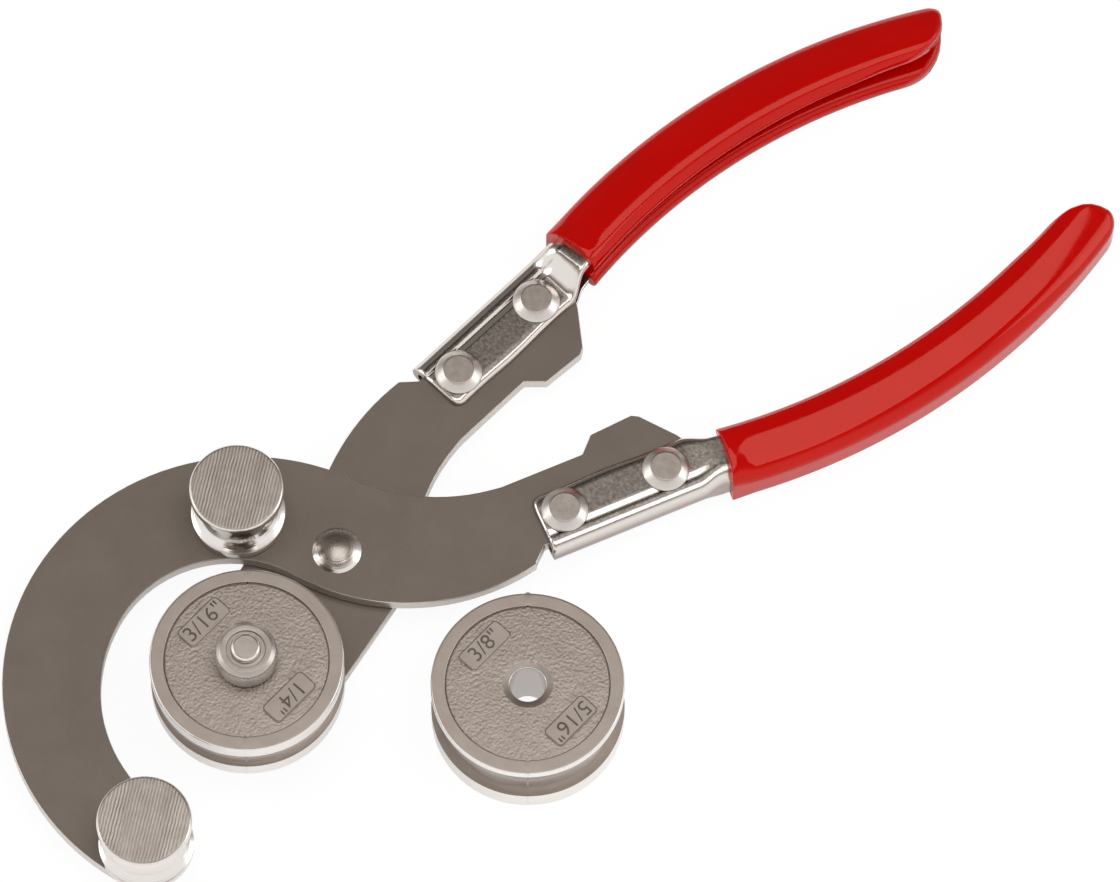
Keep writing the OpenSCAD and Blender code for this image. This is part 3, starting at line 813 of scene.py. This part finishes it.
def build_rollers():
    """Both grooved rollers and their pins."""
    for name in ("upper_roller", "lower_roller"):
        middle = centre_of(name)
        low, top = height_of(name, False), height_of(name, True)
        corners = [(0, low, 0), (ROLLER_R - ROLLER_BEVEL, low, 0), (ROLLER_R, low + ROLLER_BEVEL, 0)]
        corners += groove_arc(ROLLER_R, (low + top) / 2, ROLLER_GROOVE / 2, ROLLER_DEPTH)
        corners += [(ROLLER_R, top, ROLLER_EDGE_R), (0, top, 0)]
        steel = turned_steel("turned_steel_" + name, middle, pitch=0.5, sawn_z=top - middle.z)
        piece(name + "_form", lathe(rounded(corners), middle), steel, [name])
        softened(name + "_pin", steel, FINE_R)


def build_pivot():
    """The domed pivot rivet with its flat tail, and the washer."""
    middle = centre_of("pivot_rivet")
    steel = turned_steel("turned_steel_pivot", middle, pitch=0.5, rough=(0.26, 0.34))
    low, top = height_of("pivot_rivet", False), height_of("pivot_rivet", True)
    dome_r = (PIVOT_HEAD_R ** 2 + PIVOT_HEAD_H ** 2) / (2 * PIVOT_HEAD_H)
    edge_deg = math.degrees(math.asin(PIVOT_HEAD_R / dome_r))
    dome = [(dome_r * math.sin(math.radians(a)), top - dome_r * (1 - math.cos(math.radians(a))), 0)
            for a in (edge_deg * (1 - k / PIVOT_HEAD_STEPS) for k in range(PIVOT_HEAD_STEPS + 1))]
    corners = [
        (0, low, 0), (PIVOT_TAIL_R, low, PIVOT_TAIL_EDGE_R), (PIVOT_TAIL_R, PIVOT_TAIL_TOP, FINE_R),
        (PIVOT_SHANK_R, PIVOT_TAIL_TOP, 0), (PIVOT_SHANK_R, top - PIVOT_HEAD_H, 0),
    ]
    piece("pivot_form", lathe(rounded(corners + dome), middle), steel, ["pivot_rivet"])
    softened("pivot_washer", steel, FINE_R)


def knurl_tree():
    """Diamond knurl: rows of four-sided points round a circle, every other row half a step on."""
    tree = bpy.data.node_groups.new("knurl", "GeometryNodeTree")
    kinds = {
        "Teeth": "Int", "Rows": "Int", "Radius": "Float", "Point Width": "Float", "Point Height": "Float",
        "Row Step": "Vector", "Half Turn": "Vector", "First Row": "Vector", "Finish": "Material",
    }
    sockets = {}
    for name, kind in kinds.items():
        socket = tree.interface.new_socket(name, in_out="INPUT", socket_type="NodeSocket" + kind)
        sockets[name] = socket.identifier
    tree.interface.new_socket("Geometry", in_out="OUTPUT", socket_type="NodeSocketGeometry")
    given = add(tree, "NodeGroupInput").outputs
    circle = add(tree, "GeometryNodeMeshCircle", {}, {
        "Vertices": given["Teeth"], "Radius": given["Radius"],
    })
    line = add(tree, "GeometryNodeMeshLine", {"mode": "OFFSET"}, {
        "Count": given["Rows"], "Start Location": (0, 0, 0), "Offset": given["Row Step"],
    })
    row = add(tree, "GeometryNodeInputIndex")
    turned = add(tree, "ShaderNodeVectorMath", {"operation": "SCALE"}, {
        "Vector": given["Half Turn"], "Scale": row.outputs["Index"],
    })
    circles = add(tree, "GeometryNodeInstanceOnPoints", {}, {
        "Points": line.outputs["Mesh"], "Instance": circle.outputs["Mesh"],
        "Rotation": turned.outputs["Vector"],
    })
    spots = add(tree, "GeometryNodeRealizeInstances", {}, {"Geometry": circles.outputs["Instances"]})
    place = add(tree, "GeometryNodeInputPosition")
    outward = add(tree, "ShaderNodeVectorMath", {"operation": "MULTIPLY"}, {
        0: place.outputs["Position"], 1: (1, 1, 0),
    })
    facing = add(tree, "FunctionNodeAxesToRotation", {"primary_axis": "Z", "secondary_axis": "Y"}, {
        "Primary Axis": outward.outputs["Vector"], "Secondary Axis": (0, 0, 1),
    })
    point = add(tree, "GeometryNodeMeshCone", {}, {
        "Vertices": 4, "Radius Top": 0.0, "Radius Bottom": given["Point Width"],
        "Depth": given["Point Height"],
    })
    points = add(tree, "GeometryNodeInstanceOnPoints", {}, {
        "Points": spots.outputs["Geometry"], "Instance": point.outputs["Mesh"],
        "Rotation": facing.outputs["Rotation"],
    })
    lifted = add(tree, "GeometryNodeTransform", {}, {
        "Geometry": points.outputs["Instances"], "Translation": given["First Row"],
    })
    real = add(tree, "GeometryNodeRealizeInstances", {}, {"Geometry": lifted.outputs["Geometry"]})
    painted = add(tree, "GeometryNodeSetMaterial", {}, {
        "Geometry": real.outputs["Geometry"], "Material": given["Finish"],
    })
    add(tree, "NodeGroupOutput", {}, {"Geometry": painted.outputs["Geometry"]})
    return tree, sockets


def build_nut():
    """The nut with its sunk top and knurled skirt, and the stud it turns on."""
    middle = centre_of("disc_nut")
    low, top = height_of("disc_nut", False), height_of("disc_nut", True)
    # The nut's sloped and upright faces take a dimmer painted highlight
    steel = turned_steel("turned_steel_nut", middle, pitch=0.3, painted_sheen=("#b9b1aa", 0.26))
    body_r = NUT_R - NUT_KNURL
    hole_r, sink_r = THREAD_R + NUT_PLAY, THREAD_R + NUT_SINK_W
    floor = top - NUT_SINK_DEPTH
    corners = [
        (hole_r, low, 0), (body_r, low, FINE_R), (body_r, top - NUT_BEVEL + FINE_R, NUT_EDGE_R),
        (body_r - NUT_BEVEL, top, NUT_EDGE_R), (sink_r, top, NUT_SINK_R),
        (sink_r, floor, 0), (hole_r, floor, 0),
    ]
    piece("nut_form", lathe(rounded(corners), middle), steel, ["disc_nut"])
    tree, sockets = knurl_tree()
    holder = new_object("nut_knurl_points", bpy.data.meshes.new("nut_knurl_points"))
    modifier = holder.modifiers.new("knurl", "NODES")
    modifier.node_group = tree
    row_step = (top - NUT_BEVEL - low - 2 * KNURL_MARGIN) / NUT_ROWS
    first_z = low + KNURL_MARGIN + row_step / 2
    given = {
        "Teeth": NUT_TEETH, "Rows": NUT_ROWS, "Radius": body_r * MM,
        "Point Width": KNURL_OVERLAP * math.pi * NUT_R / NUT_TEETH * MM, "Point Height": NUT_KNURL * MM,
        "Row Step": (0, 0, row_step * MM), "Half Turn": (0, 0, math.pi / NUT_TEETH),
        "First Row": (middle.x * MM, middle.y * MM, first_z * MM), "Finish": steel,
    }
    for name, value in given.items():
        modifier[sockets[name]] = value
    knurl = new_object("nut_knurl", final_mesh(holder))
    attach(knurl, "clamp_nut")
    stud_steel = turned_steel("turned_steel_stud", centre_of("disc_stud"), pitch=0.4)
    softened("disc_stud", stud_steel, FINE_R)


def flat_text(words, size, turn, height):
    """Raised letters as a plain mesh, in millimetres, placed by a matrix."""
    curve = bpy.data.curves.new("numerals", "FONT")
    curve.body = words
    curve.size = size
    curve.align_x, curve.align_y = "CENTER", "CENTER"
    curve.extrude = height
    mesh = final_mesh(new_object("numerals", curve))
    bm = bmesh.new()
    bm.from_mesh(mesh)
    bpy.data.meshes.remove(mesh)
    bmesh.ops.remove_doubles(bm, verts=bm.verts, dist=WELD)
    bmesh.ops.transform(bm, matrix=turn, verts=bm.verts)
    return bm


def joined(meshes):
    """Several meshes as one."""
    whole = bmesh.new()
    for bm in meshes:
        part = bpy.data.meshes.new("part")
        bm.to_mesh(part)
        bm.free()
        whole.from_mesh(part)
        bpy.data.meshes.remove(part)
    return whole


def tag_rings(turn, section):
    """Rings round a size plate, from the insets and heights of its section."""
    rings = []
    for inset, z in section:
        x, y, r = TAG_LEN / 2 - inset, TAG_W / 2 - inset, TAG_R - inset
        outline = rounded([(-x, -y, r), (x, -y, r), (x, y, r), (-x, y, r)])
        rings.append([turn @ Vector((p.x, p.y, z)) for p in outline])
    return rings


def tag_turns(middle, top):
    """Matrices that set the two size plates of a disc on its face."""
    for side in (0, 180):
        a = math.radians(TAG_DEG + side)
        spot = Matrix.Translation((TAG_OUT * math.cos(a), TAG_OUT * math.sin(a), top))
        turn = spot @ Matrix.Rotation(math.radians(TAG_DEG - 90 + side), 4, "Z")
        yield Matrix.Translation((middle.x, middle.y, 0)) @ turn


def build_disc(node, groove_r, low_flange, sizes, stamp_shade):
    """A grooved disc with its sunk field, parting line and two size plates."""
    middle = centre_of(node)
    low, top = height_of(node, False), height_of(node, True)
    field = top - FIELD_DEPTH
    inner_r = DISC_R - RIM_W
    zinc = die_cast_zinc("die_cast_zinc_" + node, middle, field)
    corners = [
        (BORE_R, low + BORE_BEVEL, FINE_R), (BORE_R + BORE_BEVEL, low, FINE_R), (DISC_R, low, DISC_EDGE_R),
    ]
    corners += groove_arc(DISC_R, low + low_flange + groove_r, groove_r, groove_r)
    corners += [
        (DISC_R, top, DISC_EDGE_R), (inner_r, top, FINE_R), (inner_r - RIM_DRAFT, field - FINE_R, 0),
        (inner_r - GUTTER_W, field, 0), (BORE_R + BORE_BEVEL, field, BORE_EDGE_R),
        (BORE_R, field - BORE_BEVEL / 3, BORE_EDGE_R),
    ]

    def cast_line(p, turn):
        """Parting line down the front and the back of the rim, with a nub at the top edge."""
        off = min(abs(turn - side) for side in PARTING_DEGS)
        if p.x < DISC_R - groove_r - DISC_EDGE_R or off > PARTING_HALF_DEG:
            return 0
        nub = 0
        if node == "spare_disc":
            nub = NUB_RISE * math.exp(-((p.y - top + NUB_DROP) / NUB_H) ** 2)
        return nub + (PARTING_RISE if off < PARTING_HALF_DEG / 10 else 0)

    form = lathe(rounded(corners), middle, swell=cast_line)
    piece(node + "_form", form, zinc, [node])

    plates, marks = [], []
    for turn, words in zip(tag_turns(middle, top), sizes):
        plates.append(loft(tag_rings(turn, TAG_EDGE)))
        marks.append(loft(tag_rings(turn, TAG_FRAME), around=True))
        lifted = turn @ Matrix.Translation((0, 0, NUMERAL_LIFT))
        marks.append(flat_text(words, NUMERAL_H, lifted, NUMERAL_RISE))
    body = frame["nodes"][node]["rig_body"]
    piece(node + "_size_plates", joined(plates), zinc, [], body)
    # Numerals and frame lines in the dark tint of painted shade
    piece(node + "_numerals", joined(marks), stamp_shade, [], body)


# Stage


def build_table():
    """White table, lit by itself so that it stays white."""
    material, tree, output = new_material("white_table")
    seen = add(tree, "ShaderNodeLightPath").outputs
    grain = mottle(tree, own_place(tree, (0, 0, 0)), TABLE_MOTTLE)
    tone = add(tree, "ShaderNodeValToRGB", {}, {"Fac": grain}, stops=[(0.0, "#fbfbfb"), (1.0, "#ffffff")])
    paper = add(tree, "ShaderNodeBsdfDiffuse", {}, {"Color": tone.outputs["Color"]})
    level = calc(tree, "MULTIPLY_ADD", seen["Is Glossy Ray"], GLOW_IN_METAL, TABLE_GLOW)
    glow = add(tree, "ShaderNodeEmission", {}, {"Color": tone.outputs["Color"], "Strength": level})
    in_metal = calc(tree, "MULTIPLY", seen["Is Glossy Ray"], GLOW_SHARE_IN_METAL)
    share = calc(tree, "MULTIPLY_ADD", seen["Is Camera Ray"], GLOW_SHARE, in_metal)
    mixed = add(tree, "ShaderNodeMixShader", {}, {
        "Fac": share, 1: paper.outputs["BSDF"], 2: glow.outputs["Emission"],
    })
    tree.links.new(mixed.outputs["Shader"], output.inputs["Surface"])
    bm = bmesh.new()
    bmesh.ops.create_grid(bm, x_segments=1, y_segments=1, size=TABLE_HALF * MM)
    mesh = bpy.data.meshes.new("table")
    bm.to_mesh(mesh)
    bm.free()
    mesh.materials.append(material)
    table = new_object("table", mesh)
    table.location.z = -TABLE_DROP * MM


def build_room():
    """White walls, with a dark warm ceiling and far wall for the metal to reflect."""
    world = bpy.data.worlds.new("white_room")
    bpy.context.scene.world = world
    world.use_nodes = True
    tree = world.node_tree
    tree.nodes.clear()
    way = parts_of(tree, add(tree, "ShaderNodeTexCoord").outputs["Generated"])
    walls = add(tree, "ShaderNodeValToRGB", {}, {"Fac": way["Z"]}, stops=[
        (0.0, "#ffffff"), (0.6, "#ffffff"), (0.78, "#9a8f87"), (0.9, "#6e645c"), (1.0, DARK_WALL),
    ])
    far = span(tree, way["Y"], *FAR_WALL, 0.0, FAR_WALL_SHARE)
    room = add(tree, "ShaderNodeMixRGB", {}, {
        "Fac": far, "Color1": walls.outputs["Color"], "Color2": linear(DARK_WALL),
    })
    seen = add(tree, "ShaderNodeLightPath").outputs
    inside = add(tree, "ShaderNodeBackground", {}, {"Color": room.outputs["Color"], "Strength": 1.0})
    outside = add(tree, "ShaderNodeBackground", {}, {"Color": linear("#ffffff"), "Strength": 1.0})
    both = add(tree, "ShaderNodeMixShader", {}, {
        "Fac": seen["Is Camera Ray"], 1: inside.outputs["Background"], 2: outside.outputs["Background"],
    })
    add(tree, "ShaderNodeOutputWorld", {}, {"Surface": both.outputs["Shader"]})


def add_lamp(name, place, size, watts, aim=AIM):
    """A soft square lamp turned towards a point; without one it hangs level and shines down."""
    lamp = bpy.data.lights.new(name, "AREA")
    lamp.size = size * MM
    lamp.energy = watts
    made = new_object(name, lamp)
    made.location = Vector(place) * MM
    if aim:
        made.rotation_euler = (Vector(aim) - Vector(place)).to_track_quat("-Z", "Y").to_euler()


def build_camera():
    """The camera, far off and looking down on the table."""
    lens = bpy.data.cameras.new("camera")
    lens.sensor_width = SENSOR_W
    lens.lens = SENSOR_W * VIEW_DISTANCE / (MM_PER_PIXEL * PICTURE_W)
    lens.clip_end = VIEW_END
    camera = new_object("camera", lens)
    e = math.radians(VIEW_ELEVATION_DEG)
    back = Vector((0, -math.cos(e), math.sin(e)))
    camera.location = (Vector(AIM) + back * VIEW_DISTANCE) * MM
    camera.rotation_euler = back.to_track_quat("Z", "Y").to_euler()
    bpy.context.scene.camera = camera


# Dark tint of painted shade for the numerals and frames
painted_stamp_shade = stamp_shade_zinc()
build_plates()
build_handles()
build_rollers()
build_pivot()
build_nut()
build_disc("forming_disc", SMALL_GROOVE_R, LOW_FLANGE, ('3/16"', '1/4"'), painted_stamp_shade)
build_disc("spare_disc", LARGE_GROOVE_R, SPARE_LOW_FLANGE, ('3/8"', '5/16"'), painted_stamp_shade)
build_table()
build_room()
add_lamp("top_window", (110, -5, 900), size=740, watts=3.5, aim=None)
add_lamp("left_window", (-600, 120, 420), size=420, watts=0.8)
add_lamp("right_window", (700, 60, 420), size=420, watts=0.8)
build_camera()
bpy.context.scene.view_settings.view_transform = "Standard"
